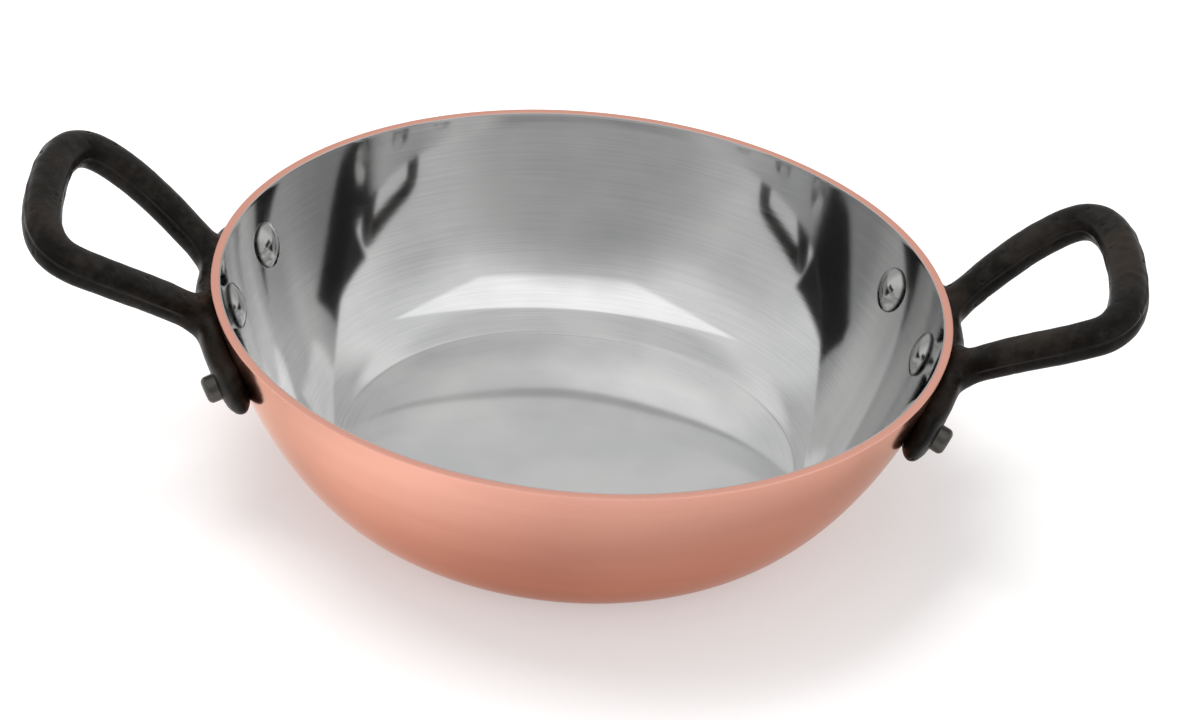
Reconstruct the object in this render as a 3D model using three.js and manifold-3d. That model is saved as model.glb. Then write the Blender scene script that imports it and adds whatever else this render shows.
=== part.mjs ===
// Two-handled copper serving dish, in millimetres, +Z up.
// The origin is the middle of the underside of the flat base.
// The handles stand along +X and -X, and the rim is a level circle.
import * as THREE from "three";
import { mergeVertices } from "three/addons/utils/BufferGeometryUtils.js";
import Module from "manifold-3d";

const wasm = await Module();
wasm.setup();

// Dish: outer shape of the copper, from the rim down to the flat base
const RIM_RADIUS = 100;
const DISH_HEIGHT = 56.5;
const BASE_RADIUS = 62.5;
const RIM_LEAN = THREE.MathUtils.degToRad(13);
const WALL_STRAIGHT_PULL = 28;
const FOOT_CURVE_PULL = 13;

// Dish: the bonded sheet, copper outside and a thin steel lining inside
const COPPER_THICKNESS = 2.2;
const LINING_THICKNESS = 0.3;

// Rivets: three to a handle, driven square to the wall
const RIVET_DROP = 14.2;
const RIVET_SPACING = 34.6;
const RIVET_SHANK_RADIUS = 3.7;
const RIVET_HEAD_RADIUS = 6.4;
const RIVET_HEAD_HEIGHT = 2.8;
const RIVET_HEAD_EDGE = 0.6;
const RIVET_TAIL_LENGTH = 3.4;
const RIVET_TAIL_ROUND = 1;

// Handle: the curved mounting plate that hugs the wall
const PLATE_THICKNESS = 6.4;
const PLATE_HEIGHT = 13;
const PLATE_BACK_DEPTH = 1.2;
const PLATE_TONGUE_LENGTH = 12.3;
const PLATE_TONGUE_ROUND = 9;
const PLATE_TONGUE_LIFT = 0.8;

// Handle: plan of the loop's centre line, measured out from the rim and from the handle's middle
const LOOP_ROOT_REACH = 4;
const LOOP_ROOT_SPREAD = 17.3;
const LOOP_ROOT_FLARE = THREE.MathUtils.degToRad(27);
const LOOP_ARM_PULL = 9.2;
const LOOP_SHOULDER_REACH = 34.2;
const LOOP_SHOULDER_SPREAD = 29.4;
const LOOP_SHOULDER_ARM_PULL = 8.9;
const LOOP_SHOULDER_BAR_PULL = 8.4;
const LOOP_BAR_REACH = 44.6;
const LOOP_BAR_PULL = 15.2;
const LOOP_ROOT_DEPTH = 6;

// Handle: side view of the loop, steep at the wall and flatter towards the bar
const LOOP_ROOT_DROP = 5.3;
const LOOP_ROOT_SLOPE = THREE.MathUtils.degToRad(39);
const LOOP_BAR_SLOPE = THREE.MathUtils.degToRad(19.6);

// Handle: section of the loop, width across and thickness through
const ARM_WIDTH = 9.4;
const ARM_THICKNESS = 8.6;
const BAR_WIDTH = 10;
const BAR_THICKNESS = 9;
const ROOT_WIDTH = 10;
const ROOT_THICKNESS = 8;
const ROOT_FLARE_LENGTH = 7;

// Clearances and cutting overrun
const SEAT_GAP = 0.3;
const BORE_GAP = 0.3;
const CUT_OVERRUN = 6;

// Fineness of the curves
const DISH_SEGMENTS = 64;
const WALL_STEPS = 10;
const LOOP_ARM_STEPS = 8;
const LOOP_CORNER_STEPS = 12;
const SECTION_SIDES = 14;
const PLATE_STEPS = 24;
const RIVET_SEGMENTS = 16;
const RIVET_DOME_STEPS = 4;
const RIVET_ROUND_STEPS = 3;

// A superellipse of power 2 is an ellipse, and a higher power squares it up
const BAR_SQUARENESS = 2.7;
const PLATE_SQUARENESS = 3.4;
const TONGUE_SQUARENESS = 2.3;

// The tongue's end ring, as a share of the plate's full section
const TONGUE_TIP_SHARE = 0.06;

const COPPER = new THREE.MeshStandardMaterial({ color: 0xd99a82, roughness: 0.34, metalness: 1 });
const STEEL = new THREE.MeshStandardMaterial({ color: 0xb4b4b2, roughness: 0.2, metalness: 1 });
const IRON = new THREE.MeshStandardMaterial({ color: 0x2a2624, roughness: 0.62, metalness: 0.4 });
const RIVET = new THREE.MeshStandardMaterial({ color: 0x8f8e8a, roughness: 0.28, metalness: 1 });

// A closed solid from a three.js geometry: shared corners merged, empty triangles dropped
function solidOf(geometry) {
  const bare = geometry.index ? geometry.toNonIndexed() : geometry.clone();
  bare.deleteAttribute("normal");
  bare.deleteAttribute("uv");
  const merged = mergeVertices(bare);
  const corners = merged.index.array;
  const kept = [];
  for (let i = 0; i < corners.length; i += 3) {
    const [a, b, c] = corners.slice(i, i + 3);
    if (a !== b && b !== c && c !== a) {
      kept.push(a, b, c);
    }
  }
  const vertProperties = new Float32Array(merged.attributes.position.array);
  const triVerts = new Uint32Array(kept);
  return new wasm.Manifold(new wasm.Mesh({ numProp: 3, vertProperties, triVerts }));
}

function geometryOf(solid) {
  const { numProp, vertProperties, triVerts } = solid.getMesh();
  const geometry = new THREE.BufferGeometry();
  geometry.setAttribute("position", new THREE.BufferAttribute(vertProperties, numProp));
  geometry.setIndex(new THREE.BufferAttribute(triVerts, 1));
  geometry.computeVertexNormals();
  return geometry;
}

function namedMesh(name, geometry, material) {
  const mesh = new THREE.Mesh(geometry, material);
  mesh.name = name;
  return mesh;
}

// Outer wall from the rim (t = 0) to the edge of the flat base (t = 1), as radius and height
const outerWall = new THREE.CubicBezierCurve(
  new THREE.Vector2(RIM_RADIUS, DISH_HEIGHT),
  new THREE.Vector2(
    RIM_RADIUS - WALL_STRAIGHT_PULL * Math.sin(RIM_LEAN),
    DISH_HEIGHT - WALL_STRAIGHT_PULL * Math.cos(RIM_LEAN),
  ),
  new THREE.Vector2(BASE_RADIUS + FOOT_CURVE_PULL, 0),
  new THREE.Vector2(BASE_RADIUS, 0),
);

// Outward unit normal of the wall in the radius and height plane
function wallNormal(t) {
  const along = outerWall.getTangent(t);
  return new THREE.Vector2(-along.y, along.x);
}

// The wall's curve set in from its outer face by a depth, from rim to base.
// Its first point lies in the rim's plane, so that the rim is cut off level.
function wallLayer(depth) {
  const points = [new THREE.Vector2(RIM_RADIUS - depth / Math.cos(RIM_LEAN), DISH_HEIGHT)];
  for (let i = 1; i <= WALL_STEPS; i += 1) {
    const t = i / WALL_STEPS;
    points.push(outerWall.getPoint(t).addScaledVector(wallNormal(t), -depth));
  }
  return points;
}

// Where the wall is at a given drop below the rim, by halving the span of t
function wallAtDrop(drop) {
  let upper = 0;
  let lower = 1;
  while (lower - upper > Number.EPSILON) {
    const middle = (upper + lower) / 2;
    if (middle === upper || middle === lower) {
      break;
    }
    if (outerWall.getPoint(middle).y > DISH_HEIGHT - drop) {
      upper = middle;
    } else {
      lower = middle;
    }
  }
  return { point: outerWall.getPoint(upper), normal: wallNormal(upper) };
}

// A closed profile of radius and height turned about the Z axis
function turned(profile, segments) {
  return new THREE.LatheGeometry(profile, segments).rotateX(Math.PI / 2);
}

// One layer of the dish between two depths measured in from the copper's outer face
function dishLayer(outerDepth, innerDepth) {
  const outside = wallLayer(outerDepth).reverse();
  const inside = wallLayer(innerDepth);
  const profile = [
    new THREE.Vector2(0, outerDepth),
    ...outside,
    ...inside,
    new THREE.Vector2(0, innerDepth),
  ];
  return solidOf(turned(profile, DISH_SEGMENTS));
}

const rivetSeat = wallAtDrop(RIVET_DROP);
const rivetTilt = Math.atan2(rivetSeat.normal.y, rivetSeat.normal.x);
const rivetStep = RIVET_SPACING / rivetSeat.point.x;
const sheetThickness = COPPER_THICKNESS + LINING_THICKNESS;

// Turns a shape made along +Z from the wall's outer face, so that it points square out of the wall
function placeOnWall(object, azimuth) {
  object.rotation.set(0, Math.PI / 2 - rivetTilt, 0);
  object.position.set(rivetSeat.point.x, 0, rivetSeat.point.y);
  const turn = new THREE.Group();
  turn.rotation.z = azimuth;
  turn.add(object);
  turn.updateMatrixWorld(true);
  return turn;
}

// Bore for one rivet's shank, right through the sheet and the plate
function rivetBore(azimuth) {
  const length = 2 * (sheetThickness + PLATE_THICKNESS + CUT_OVERRUN);
  const radius = RIVET_SHANK_RADIUS + BORE_GAP;
  const bore = new THREE.Mesh(new THREE.CylinderGeometry(radius, radius, length, RIVET_SEGMENTS));
  bore.geometry.rotateX(Math.PI / 2);
  placeOnWall(bore, azimuth);
  return solidOf(bore.geometry.applyMatrix4(bore.matrixWorld));
}

// Domed head inside the dish, straight shank, and a tail end with a rounded edge outside.
// Its axis is +Z, and height 0 is the wall's outer face.
function rivetGeometry() {
  const linerRadius = rivetSeat.point.x - sheetThickness;
  const bow = linerRadius - Math.sqrt(linerRadius ** 2 - RIVET_HEAD_RADIUS ** 2);
  const seat = -(sheetThickness + bow + SEAT_GAP);
  const edge = seat - RIVET_HEAD_EDGE;
  const rise = RIVET_HEAD_HEIGHT - RIVET_HEAD_EDGE;
  const domeRadius = (RIVET_HEAD_RADIUS ** 2 + rise ** 2) / (2 * rise);
  const domeAngle = Math.asin(RIVET_HEAD_RADIUS / domeRadius);
  const profile = [];
  for (let i = 0; i <= RIVET_DOME_STEPS; i += 1) {
    const angle = (domeAngle * i) / RIVET_DOME_STEPS;
    const height = seat - RIVET_HEAD_HEIGHT + domeRadius * (1 - Math.cos(angle));
    profile.push(new THREE.Vector2(domeRadius * Math.sin(angle), height));
  }
  profile[RIVET_DOME_STEPS].set(RIVET_HEAD_RADIUS, edge);
  profile.push(new THREE.Vector2(RIVET_HEAD_RADIUS, seat));
  profile.push(new THREE.Vector2(RIVET_SHANK_RADIUS, seat));
  const tail = PLATE_THICKNESS + RIVET_TAIL_LENGTH;
  for (let i = 0; i <= RIVET_ROUND_STEPS; i += 1) {
    const angle = (Math.PI / 2) * (i / RIVET_ROUND_STEPS);
    profile.push(new THREE.Vector2(
      RIVET_SHANK_RADIUS - RIVET_TAIL_ROUND * (1 - Math.cos(angle)),
      tail - RIVET_TAIL_ROUND * (1 - Math.sin(angle)),
    ));
  }
  profile.push(new THREE.Vector2(0, tail));
  profile[0].x = 0;
  return geometryOf(solidOf(turned(profile, RIVET_SEGMENTS)));
}

// Superellipse outline with the given half sizes, counter-clockwise, as pairs of shifts
function sectionOutline(halfAcross, halfThrough, squareness) {
  const outline = [];
  for (let i = 0; i < SECTION_SIDES; i += 1) {
    const angle = (2 * Math.PI * i) / SECTION_SIDES;
    const power = 2 / squareness;
    outline.push([
      halfAcross * Math.sign(Math.cos(angle)) * Math.abs(Math.cos(angle)) ** power,
      halfThrough * Math.sign(Math.sin(angle)) * Math.abs(Math.sin(angle)) ** power,
    ]);
  }
  return outline;
}

// A closed solid lofted through rings of equal count, with a flat fan over each end
function loft(rings) {
  const count = rings[0].length;
  const points = rings.flat();
  const faces = [];
  for (let r = 0; r + 1 < rings.length; r += 1) {
    for (let i = 0; i < count; i += 1) {
      const next = (i + 1) % count;
      const a = r * count + i;
      const b = r * count + next;
      faces.push(a, b, b + count, a, b + count, a + count);
    }
  }
  const last = (rings.length - 1) * count;
  for (let i = 1; i + 1 < count; i += 1) {
    faces.push(0, i + 1, i, last, last + i, last + i + 1);
  }
  const geometry = new THREE.BufferGeometry().setFromPoints(points);
  geometry.setIndex(faces);
  return solidOf(geometry);
}

// Height and slope of the loop's centre line at a radius.
// The slope holds inside the root, and from there eases off evenly towards the bar.
function loopRise(radius) {
  const run = radius - RIM_RADIUS - LOOP_ROOT_REACH;
  const eased = Math.max(run, 0);
  const steep = Math.tan(LOOP_ROOT_SLOPE);
  const easing = (Math.tan(LOOP_BAR_SLOPE) - steep) / (LOOP_BAR_REACH - LOOP_ROOT_REACH);
  return {
    height: DISH_HEIGHT - LOOP_ROOT_DROP + steep * run + (easing * eased ** 2) / 2,
    slope: steep + easing * eased,
  };
}

// Plan of half the loop: a lead-in inside the plate, a bowed arm, then the corner and half the bar
function halfLoopPlan() {
  const root = new THREE.Vector2(RIM_RADIUS + LOOP_ROOT_REACH, LOOP_ROOT_SPREAD);
  const flare = new THREE.Vector2(Math.cos(LOOP_ROOT_FLARE), Math.sin(LOOP_ROOT_FLARE));
  const shoulder = new THREE.Vector2(RIM_RADIUS + LOOP_SHOULDER_REACH, LOOP_SHOULDER_SPREAD);
  const bar = new THREE.Vector2(RIM_RADIUS + LOOP_BAR_REACH, 0);
  const arm = new THREE.CubicBezierCurve(
    root,
    root.clone().addScaledVector(flare, LOOP_ARM_PULL),
    new THREE.Vector2(shoulder.x - LOOP_SHOULDER_ARM_PULL, shoulder.y),
    shoulder,
  );
  const corner = new THREE.CubicBezierCurve(
    shoulder,
    new THREE.Vector2(shoulder.x + LOOP_SHOULDER_BAR_PULL, shoulder.y),
    new THREE.Vector2(bar.x, LOOP_BAR_PULL),
    bar,
  );
  const leadIn = root.clone().addScaledVector(flare, -LOOP_ROOT_DEPTH);
  return [leadIn, ...arm.getPoints(LOOP_ARM_STEPS), ...corner.getPoints(LOOP_CORNER_STEPS).slice(1)];
}

// Width and thickness of the loop at a plan point: flared at the root, fullest along the bar
function loopSize(point) {
  const reach = point.x - RIM_RADIUS;
  const outward = THREE.MathUtils.smoothstep(reach, LOOP_ROOT_REACH, LOOP_BAR_REACH);
  const near = 1 - THREE.MathUtils.smoothstep(reach, 0, ROOT_FLARE_LENGTH);
  const width = THREE.MathUtils.lerp(ARM_WIDTH, BAR_WIDTH, outward);
  const thickness = THREE.MathUtils.lerp(ARM_THICKNESS, BAR_THICKNESS, outward);
  return [
    THREE.MathUtils.lerp(width, ROOT_WIDTH, near),
    THREE.MathUtils.lerp(thickness, ROOT_THICKNESS, near),
  ];
}

// The cast loop: one bar from the plate, out round both corners and back to the plate
function loopSolid() {
  const half = halfLoopPlan();
  const mirrored = half.slice(0, -1).reverse().map((p) => new THREE.Vector2(p.x, -p.y));
  const plan = [...half, ...mirrored];
  const path = plan.map((p) => new THREE.Vector3(p.x, p.y, loopRise(p.x).height));
  const rings = path.map((centre, i) => {
    const before = path[Math.max(i - 1, 0)];
    const after = path[Math.min(i + 1, path.length - 1)];
    const along = after.clone().sub(before).normalize();
    const through = new THREE.Vector3(-loopRise(centre.x).slope, 0, 1).normalize();
    const side = through.clone().cross(along).normalize();
    const up = along.clone().cross(side).normalize();
    const [width, thickness] = loopSize(plan[i]);
    return sectionOutline(width / 2, thickness / 2, BAR_SQUARENESS).map(
      ([s, u]) => centre.clone().addScaledVector(side, s).addScaledVector(up, u),
    );
  });
  return loft(rings);
}

// The mounting plate: a flat rounded bar bent round the wall, ending in a tongue on each side.
// Its back runs into the wall's line, and is trimmed to the wall afterwards.
function plateSolid() {
  const { point, normal } = rivetSeat;
  const halfLength = RIVET_SPACING + PLATE_TONGUE_LENGTH;
  const rings = [];
  for (let i = 0; i <= PLATE_STEPS; i += 1) {
    const share = Math.sin((Math.PI / 2) * ((2 * i) / PLATE_STEPS - 1));
    const arc = share * halfLength;
    const azimuth = arc / point.x;
    const past = Math.max(Math.abs(arc) - halfLength + PLATE_TONGUE_ROUND, 0) / PLATE_TONGUE_ROUND;
    const fullness = Math.max(1 - past ** 2, 0) ** 0.5;
    const size = Math.max(fullness, TONGUE_TIP_SHARE);
    const back = THREE.MathUtils.lerp(-PLATE_BACK_DEPTH, PLATE_TONGUE_LIFT, past);
    const middle = (PLATE_THICKNESS + back) / 2;
    const halfThick = ((PLATE_THICKNESS - back) / 2) * size;
    const halfTall = (PLATE_HEIGHT / 2) * size;
    const squareness = THREE.MathUtils.lerp(PLATE_SQUARENESS, TONGUE_SQUARENESS, past);
    const outline = sectionOutline(halfThick, halfTall, squareness).reverse();
    rings.push(outline.map(([out, up]) => {
      const radius = point.x + normal.x * (middle + out) - normal.y * up;
      const height = point.y + normal.y * (middle + out) + normal.x * up;
      return new THREE.Vector3(radius * Math.cos(azimuth), radius * Math.sin(azimuth), height);
    }));
  }
  return loft(rings);
}

// The dish's outside, a seat's gap larger all round, that trims the back of the handle
function wallCutter() {
  const top = DISH_HEIGHT + CUT_OVERRUN;
  const skin = wallLayer(-SEAT_GAP);
  const profile = [
    new THREE.Vector2(0, -SEAT_GAP),
    ...skin.slice().reverse(),
    new THREE.Vector2(skin[0].x, top),
    new THREE.Vector2(0, top),
  ];
  return solidOf(turned(profile, DISH_SEGMENTS));
}

const rivetPlaces = { front: -rivetStep, middle: 0, back: rivetStep };

// One cast-iron handle: loop and plate in one casting, trimmed to the wall and bored for its rivets
function handleGeometry() {
  let casting = loopSolid().add(plateSolid()).subtract(wallCutter());
  for (const azimuth of Object.values(rivetPlaces)) {
    casting = casting.subtract(rivetBore(azimuth));
  }
  return geometryOf(casting);
}

// Bores through the dish's sheet for the rivets of both handles
function boredSheet(layer) {
  let sheet = layer;
  for (const side of [0, Math.PI]) {
    for (const azimuth of Object.values(rivetPlaces)) {
      sheet = sheet.subtract(rivetBore(side + azimuth));
    }
  }
  return geometryOf(sheet);
}

const dish = new THREE.Group();
dish.add(namedMesh("copper_shell", boredSheet(dishLayer(0, COPPER_THICKNESS)), COPPER));
dish.add(namedMesh("steel_lining", boredSheet(dishLayer(COPPER_THICKNESS, sheetThickness)), STEEL));

const handle = handleGeometry();
const rivet = rivetGeometry();
for (const [side, turn] of [["right", 0], ["left", Math.PI]]) {
  const handleMesh = namedMesh(`handle_${side}`, handle, IRON);
  handleMesh.rotation.z = turn;
  dish.add(handleMesh);
  for (const [place, azimuth] of Object.entries(rivetPlaces)) {
    const facing = side === "right" ? azimuth : -azimuth;
    dish.add(placeOnWall(namedMesh(`rivet_${side}_${place}`, rivet, RIVET), turn + facing));
  }
}

export default dish;
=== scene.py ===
"""Looks of a two-handled copper serving dish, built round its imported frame, in metres."""
import math

import bpy
import numpy as np
from mathutils import Matrix, Vector


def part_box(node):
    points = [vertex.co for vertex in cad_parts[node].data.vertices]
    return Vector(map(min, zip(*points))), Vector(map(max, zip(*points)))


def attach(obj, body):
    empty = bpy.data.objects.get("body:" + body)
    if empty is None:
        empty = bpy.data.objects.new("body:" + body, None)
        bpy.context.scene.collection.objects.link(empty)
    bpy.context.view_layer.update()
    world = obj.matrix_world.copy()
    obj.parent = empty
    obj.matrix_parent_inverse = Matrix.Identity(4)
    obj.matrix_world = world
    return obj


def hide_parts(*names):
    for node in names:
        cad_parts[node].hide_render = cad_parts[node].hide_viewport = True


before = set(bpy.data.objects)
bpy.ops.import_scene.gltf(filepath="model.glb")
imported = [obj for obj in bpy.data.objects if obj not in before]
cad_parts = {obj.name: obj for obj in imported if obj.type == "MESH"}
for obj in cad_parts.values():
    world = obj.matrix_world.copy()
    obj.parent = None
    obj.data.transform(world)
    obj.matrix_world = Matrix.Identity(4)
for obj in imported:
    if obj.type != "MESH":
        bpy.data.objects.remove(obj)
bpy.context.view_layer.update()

# Dish: the rim's radius and height come from the frame, the wall's curve and the sheet are its own
SHELL_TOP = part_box("copper_shell")[1]
RIM_RADIUS = SHELL_TOP.x
DISH_HEIGHT = SHELL_TOP.z
BASE_RADIUS = 0.0625
RIM_LEAN = math.radians(13)
WALL_STRAIGHT_PULL = 0.028
FOOT_CURVE_PULL = 0.013
COPPER_THICKNESS = 0.0022
LINING_THICKNESS = 0.0003
SHEET_THICKNESS = COPPER_THICKNESS + LINING_THICKNESS
RIM_EDGE_ROUND = 0.0004
LINING_EDGE_ROUND = 0.00008

# Rivets: three to a handle, square to the wall
RIVET_DROP = 0.0142
RIVET_SPACING = 0.0346
RIVET_SHANK_RADIUS = 0.0037
RIVET_HEAD_RADIUS = 0.0064
RIVET_HEAD_HEIGHT = 0.0027
RIVET_HEAD_EDGE = 0.0009
RIVET_TAIL_LENGTH = 0.0034
RIVET_TAIL_ROUND = 0.0015
RIVET_SINK = 0.0002

# Handle: mounting plate
PLATE_THICKNESS = 0.0064
PLATE_HEIGHT = 0.013
PLATE_BACK_DEPTH = 0.0012
PLATE_TONGUE_LENGTH = 0.0123
PLATE_TONGUE_ROUND = 0.009
PLATE_TONGUE_LIFT = 0.0008
PLATE_SQUARENESS = 3.4
TONGUE_SQUARENESS = 2.3
TONGUE_TIP_SHARE = 0.06

# Handle: plan of the loop, measured out from the rim and from the handle's middle
LOOP_ROOT_REACH = 0.004
LOOP_ROOT_SPREAD = 0.0173
LOOP_ROOT_FLARE = math.radians(27)
LOOP_ARM_PULL = 0.0092
LOOP_SHOULDER_REACH = 0.0342
LOOP_SHOULDER_SPREAD = 0.0294
LOOP_SHOULDER_ARM_PULL = 0.0089
LOOP_SHOULDER_BAR_PULL = 0.0084
LOOP_BAR_REACH = 0.0446
LOOP_BAR_PULL = 0.0152
LOOP_ROOT_DEPTH = 0.006

# Handle: side view and section of the loop
LOOP_ROOT_DROP = 0.0053
LOOP_ROOT_SLOPE = math.radians(39)
LOOP_BAR_SLOPE = math.radians(19.6)
ARM_WIDTH = 0.0094
ARM_THICKNESS = 0.0086
BAR_WIDTH = 0.01
BAR_THICKNESS = 0.009
ROOT_WIDTH = 0.01
ROOT_THICKNESS = 0.008
ROOT_FLARE_LENGTH = 0.007
BAR_SQUARENESS = 2.7

# Handle: what the casting adds to its plain form
CASTING_VOXEL = 0.00042
CASTING_GROWTH = 0.00015
PLATE_TOP_GROWTH = 0.0046
PLATE_TOP_SPREAD = (0.025, 0.037)
WEB_HEIGHT = 0.0022
WEB_PLACE = 0.0112
WEB_WIDTH = 0.003
PLATE_FACE_REACH = 0.0032
OUTER_FILLET = 0.003
INNER_FILLET = 0.0026
FILLET_REACH = (0.007, 0.013)
ROOT_REACH = (0.0005, 0.003)
FILLET_ROUNDS = 220
ROOT_ROUNDS = 40
SKIN_ROUNDS = 28
PULL_SHARE = 0.5
WALL_GAP = 0.00003

# Handle: the seam along the loop's sides, and the uneven skin
SEAM_HEIGHT = 0.00042
SEAM_WIDTH = 0.0006
SEAM_LEVEL = 0.0012
SEAM_FADE = 0.004
SEAM_SIDES = (0.5, 0.8)
GROOVE_SHARE = 0.7
GROOVE_DROP = 1.8
SEAM_WAVE = 0.3
SEAM_WAVES = ((180, 420, 260), (-310, 150, 90))
LUMP_HEIGHT = 0.00006
LUMP_WAVES = 40
LUMP_LENGTHS = (0.003, 0.014)
PIT_COUNT = 110
PIT_DEPTH = 0.0005
PIT_WIDTHS = (0.0003, 0.0006)
PIT_SHARES = (0.3, 1)

# Each handle's side, the seed of its skin, and which way along X it faces
HANDLE_SIDES = (("right", 11, 1), ("left", 23, -1))

# Fineness of the surfaces
DISH_TURNS = 320
WALL_POINTS = 110
BASE_RINGS = 24
EDGE_POINTS = 7
RIVET_TURNS = 64
RIVET_DOME_POINTS = 22
RIVET_TAIL_POINTS = 9
BAR_SIDES = 56
ARM_POINTS = 90
CORNER_POINTS = 110
PLATE_POINTS = 150
RIVET_PLACE_POINTS = 4001
WALL_TRIM_POINTS = 400

# Added where something is divided by a length that may be zero: of a normal, from the axis, or level
NORMAL_ROOM = 1e-20
AXIS_ROOM = 1e-6
LEVEL_ROOM = 0.0001

# Camera, at the place and angle that the outlines in the photograph give
CAMERA_LENS = 112.2
CAMERA_SENSOR = 36.0
CAMERA_DISTANCE = 1.00708
CAMERA_ELEVATION = math.radians(31.0592)
CAMERA_AZIMUTH = math.radians(-2.5002)
CAMERA_YAW = math.radians(0.3502)
CAMERA_PITCH = math.radians(1.0722)
CAMERA_ROLL = math.radians(-5.3823)

# Black card that only rays mirrored twice meet: its place before the camera, its slanting outline
CARD_DISTANCE = 0.32
CARD_TILT = math.radians(31)
CARD_FOOT = -0.0077
CARD_TOP = 0.096
CARD_LEFT = -0.066
CARD_LEFT_LEAN = -1.74
CARD_RIGHT = 0.0268
CARD_RIGHT_LEAN = 1.86
CARD_SOFTNESS = 0.01
CARD_MARGIN = 0.2
CARD_TIMES_MIRRORED = 2.0

# Floor: its grey, its glow where it is seen, and how that glow is cut in mirrors from right to left
FLOOR_HALF = 6.0
FLOOR_LEVEL = -0.0001
FLOOR_GREY = 0.66
FLOOR_GLOW = 0.4
GLOW_CUT = 0.11
GLOW_RISE = 0.26
GLOW_RISE_SPAN = (0.0, 0.08)
GLOW_FALL = 0.2
GLOW_FALL_SPAN = (0.08, 0.14)

# Lamp over the dish, and the world's light on dull surfaces
LAMP_PLACE = (-0.3, 0.2, 1.05)
LAMP_WIDTH = 0.8
LAMP_LENGTH = 0.6
LAMP_WATTS = 9
SOFT_LIGHT = 0.75

# Walls that metal mirrors, by direction, where light is 1 for white. A pair is where a soft edge starts
# and ends: SIDE, NEAR and FAR run from -1 before the dish to 1 behind it, FOOT and TOP from level to
# 1 overhead
BLACK = 0.03
BACKDROP_LIGHT = 0.64
BACKDROP_SIDE = (0.3, 0.7)
BACKDROP_TOP = (0.6, 0.7)
FRONT_LIGHT = 0.7
FRONT_SIDE = (-0.4, 0.1)
FRONT_TOP = (0.4, 0.62)
FLAG_NEAR = (-0.145, -0.105)
FLAG_FAR = (0.25, 0.3)
FLAG_FOOT = (0.09, 0.12)
FLAG_TOP = (0.248, 0.278)
LENS_SIDE = (-0.945, -0.925)
LENS_FOOT = (0.42, 0.46)
LENS_TOP = (0.62, 0.66)

# Ceiling that metal mirrors. An EDGE is a height as above, and other places are a direction's x and y
# once it has risen by 1
CEILING_LIGHT = 0.8
CEILING_EDGE = (0.75, 0.9)
SOFTBOX_LIGHT = 1.44
SOFTBOX_BOW = 0.22
SOFTBOX_NEAR = (-1.03, -0.95)
SOFTBOX_FAR = (-0.4, -0.36)
SOFTBOX_LEFT = (-0.54, -0.41)
SOFTBOX_RIGHT = (0.8, 0.93)
SOFTBOX_RIGHT_LEAN = 0.8
LOWEST_RISE = 0.05

# Ceiling for rays mirrored two or three times: light near and far, and a bent dark gap between them
AGAIN_EDGE = (0.76, 0.82)
NEAR_LIGHT = 1.05
FAR_LEFT_LIGHT = 1.38
FAR_RIGHT_LIGHT = 1.0
FAR_FADE = (-0.25, 0.3)
FAR_EDGE = (-0.3, -0.24)
GAP_LIGHT = 0.7
GAP_SAG = 0.6
GAP_END_SAG = 2.3
GAP_NEAR = (-0.345, -0.315)
GAP_FAR = (-0.27, -0.235)
GAP_ENDS = (0.48, 0.66)

# Grey cloud round a direction just above level at the camera's side, a little squeezed in height
CLOUD_LIGHT = 0.49
CLOUD_FRONT = 0.9945
CLOUD_RISE = 0.117
CLOUD_SQUEEZE = 0.254
CLOUD_OUTER = math.radians(54)
CLOUD_INNER = math.radians(23)

# Light gained by rays that were mirrored three times or more, at the right and everywhere
DEEP_RIGHT = (0.1, 0.3)
DEEP_RIGHT_GAIN = 0.9
DEEP_TIMES = (3.0, 5.6)
DEEP_GAIN = 0.6


def cubic(points, t):
    """Cubic Bezier: four points weighted by (1-t)^3, 3t(1-t)^2, 3t^2(1-t) and t^3."""
    t = np.asarray(t, float)[:, None]
    weights = (1 - t) ** 3, 3 * t * (1 - t) ** 2, 3 * t**2 * (1 - t), t**3
    return sum(weight * np.asarray(point, float) for weight, point in zip(weights, points))


def cubic_heading(points, t):
    """Unit direction of that Bezier: its three steps weighted by (1-t)^2, 2t(1-t) and t^2."""
    t = np.asarray(t, float)[:, None]
    steps = np.diff(np.asarray(points, float), axis=0)
    heading = (1 - t) ** 2 * steps[0] + 2 * t * (1 - t) * steps[1] + t**2 * steps[2]
    return unit(heading)


def unit(vectors):
    """Each vector divided by its own length."""
    return vectors / np.linalg.norm(vectors, axis=-1, keepdims=True)


def smooth_step(value, low, high):
    """0 below low, 1 above high, and 3s^2 - 2s^3 of the share s between them."""
    share = np.clip((value - low) / (high - low), 0, 1)
    return share**2 * (3 - 2 * share)


# Outer section of the wall as radius and height, from the rim (t = 0) to the flat base (t = 1)
WALL = [
    (RIM_RADIUS, DISH_HEIGHT),
    (
        RIM_RADIUS - WALL_STRAIGHT_PULL * math.sin(RIM_LEAN),
        DISH_HEIGHT - WALL_STRAIGHT_PULL * math.cos(RIM_LEAN),
    ),
    (BASE_RADIUS + FOOT_CURVE_PULL, 0.0),
    (BASE_RADIUS, 0.0),
]


def wall_normal(t):
    """Outward unit normal of the wall's section: its heading turned a quarter turn."""
    heading = cubic_heading(WALL, t)
    return np.stack([-heading[:, 1], heading[:, 0]], axis=1)


def wall_layer(depth):
    """The wall's curve set in by a depth along its normal, cut off level in the rim's plane."""
    t = np.linspace(0, 1, WALL_POINTS)
    points = cubic(WALL, t) - depth * wall_normal(t)
    rim = [[RIM_RADIUS - depth / math.cos(RIM_LEAN), DISH_HEIGHT]]
    return np.concatenate([rim, points[points[:, 1] < DISH_HEIGHT - RIM_EDGE_ROUND]])


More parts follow.
